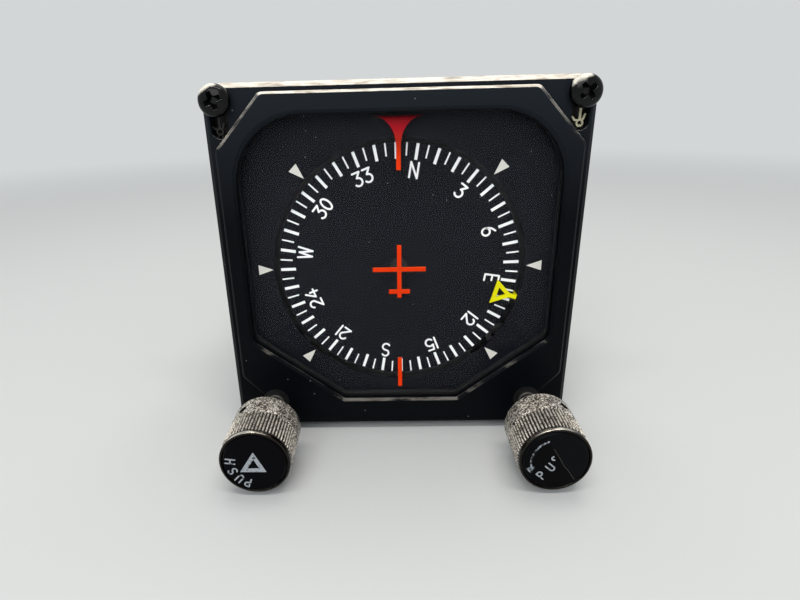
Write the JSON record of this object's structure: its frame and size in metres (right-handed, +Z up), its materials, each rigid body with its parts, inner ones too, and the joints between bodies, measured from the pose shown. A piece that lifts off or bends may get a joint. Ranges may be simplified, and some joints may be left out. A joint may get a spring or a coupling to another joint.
{
  "type": "directional gyro indicator",
  "caption": "Panel-mounted air-driven directional gyro indicator with a rotating compass card, a heading bug and two push-to-set knobs.",
  "frame": {"origin": "middle of the bounding box's base, under the middle of the instrument's length", "axes": "+Y is the line of sight into the instrument along the dial's axis, +Z is up the dial, +X is to the pilot's right"},
  "size_m": [0.0828, 0.1416, 0.0828],
  "materials": {
    "black_enamel": "satin black enamel on cast and drawn aluminium, bare at worn edges",
    "window_glass": "clear polished glass",
    "black_rubber": "moulded black rubber",
    "dial_black": "matt black dial paint",
    "index_grey": "light grey printed dial paint",
    "signal_orange": "orange-red fluorescent paint",
    "bug_yellow": "yellow fluorescent paint",
    "black_steel": "glossy black oxide on steel, worn on the edges",
    "clip_steel": "yellow-plated spring steel, partly worn",
    "bush_bronze": "turned bronze, dulled",
    "felt": "pressed felt",
    "bright_steel": "turned steel",
    "connector_nickel": "dull nickel plate",
    "connector_plastic": "moulded phenolic",
    "cast_alloy": "cast aluminium, machined at its seats",
    "gear_brass": "cut brass",
    "worn_knob": "black anodised aluminium worn to grey-brown metal",
    "cap_black": "glossy black plastic"
  },
  "bodies": {
    "case": {"bezel_frame": "black_enamel", "window_glass": "window_glass", "glass_gasket": "black_rubber", "glass_retainer": "black_enamel", "dial_mask": "dial_black", "index_marks": "index_grey", "lubber_marks": "signal_orange", "airplane_symbol": "signal_orange", "mounting_screws": "black_steel", "clip_nuts": "clip_steel", "knob_bushes": "bush_bronze", "front_housing": "black_enamel", "housing_screws": "black_steel", "case_can": "black_enamel", "case_seals": "black_rubber", "case_screws": "black_steel", "rear_housing": "black_enamel", "filter_element": "felt", "filter_cover": "bright_steel", "rear_screws": "bright_steel", "connector_shell": "connector_nickel", "connector_insert": "connector_plastic", "main_frame": "cast_alloy", "frame_screws": "bright_steel", "frame_pins": "bright_steel", "card_bearing": "bright_steel", "gimbal_bearings": "bright_steel", "bug_spring": "bright_steel", "card_spring": "bright_steel"},
    "card": {"compass_card": "dial_black", "card_hub": "cast_alloy", "card_shaft": "bright_steel", "card_mitre_gear": "gear_brass", "card_set_gear": "gear_brass"},
    "bug": {"heading_bug": "bug_yellow", "bug_ring_gear": "gear_brass", "bug_friction_ring": "bright_steel"},
    "gimbal": {"outer_gimbal": "cast_alloy", "gimbal_shafts": "bright_steel", "gimbal_gear": "gear_brass", "tilt_bearings": "bright_steel", "air_nozzle": "gear_brass"},
    "rotor_cradle": {"rotor_frame": "cast_alloy", "tilt_pivots": "bright_steel", "rotor_bearings": "bright_steel"},
    "rotor": {"gyro_rotor": "gear_brass", "rotor_shaft": "bright_steel"},
    "bug_slide": {"bug_yoke": "cast_alloy"},
    "bug_knob": {"bug_knob": "worn_knob", "bug_knob_cap": "cap_black", "bug_knob_shaft": "bright_steel", "bug_set_screw": "black_steel"},
    "bug_idler": {"bug_idler": "gear_brass"},
    "card_slide": {"card_yoke": "cast_alloy"},
    "card_knob": {"card_knob": "worn_knob", "card_knob_cap": "cap_black", "card_knob_shaft": "bright_steel", "card_set_screw": "black_steel"},
    "card_idler": {"card_idler": "gear_brass"},
    "caging_lever": {"caging_lever": "bright_steel"}
  },
  "joints": [
    {"name": "gimbal_azimuth", "type": "hinge", "parent": "case", "child": "gimbal", "pos_m": [0, 0.0058, 0.0414], "axis": [0, 0, 1], "continuous": true},
    {"name": "gimbal_tilt", "type": "hinge", "parent": "gimbal", "child": "rotor_cradle", "pos_m": [0, 0.0058, 0.0414], "axis": [1, 0, 0], "range_deg": [-55, 55]},
    {"name": "rotor_spin", "type": "hinge", "parent": "rotor_cradle", "child": "rotor", "pos_m": [0, 0.0058, 0.0414], "axis": [0, 1, 0], "continuous": true},
    {"name": "card_turn", "type": "hinge", "parent": "case", "child": "card", "pos_m": [0, -0.0382, 0.0414], "axis": [0, 1, 0], "continuous": true},
    {"name": "bug_turn", "type": "hinge", "parent": "card", "child": "bug", "pos_m": [0, -0.0352, 0.0414], "axis": [0, 1, 0], "continuous": true},
    {"name": "bug_push", "type": "slide", "parent": "case", "child": "bug_slide", "axis": [0, 1, 0], "range_m": [0, 0.003], "stiffness_N_per_m": 250, "springref_m": -0.003},
    {"name": "bug_knob_turn", "type": "hinge", "parent": "bug_slide", "child": "bug_knob", "pos_m": [-0.03121, -0.0432, 0.00859], "axis": [0, 1, 0], "continuous": true},
    {"name": "bug_idler_turn", "type": "hinge", "parent": "bug_slide", "child": "bug_idler", "pos_m": [-0.02593, -0.0352, 0.02003], "axis": [0, 1, 0], "continuous": true},
    {"name": "card_push", "type": "slide", "parent": "case", "child": "card_slide", "axis": [0, 1, 0], "range_m": [0, 0.003], "stiffness_N_per_m": 250, "springref_m": -0.003},
    {"name": "card_knob_turn", "type": "hinge", "parent": "card_slide", "child": "card_knob", "pos_m": [0.03121, -0.0432, 0.00859], "axis": [0, 1, 0], "continuous": true},
    {"name": "card_idler_turn", "type": "hinge", "parent": "card_slide", "child": "card_idler", "pos_m": [0.02593, -0.0302, 0.02003], "axis": [0, 1, 0], "continuous": true},
    {"name": "caging_swing", "type": "hinge", "parent": "case", "child": "caging_lever", "pos_m": [0.0056, -0.0102, 0.0142], "axis": [0, 0, 1], "range_deg": [0, 12]}
  ],
  "couplings": [
    {"joint": "card_turn", "follows": "gimbal_azimuth", "ratio": -1},
    {"joint": "bug_idler_turn", "follows": "bug_knob_turn", "ratio": -0.5},
    {"joint": "card_idler_turn", "follows": "card_knob_turn", "ratio": -0.5},
    {"joint": "caging_swing", "follows": "card_push", "rad_per_m": 60.878}
  ]
}
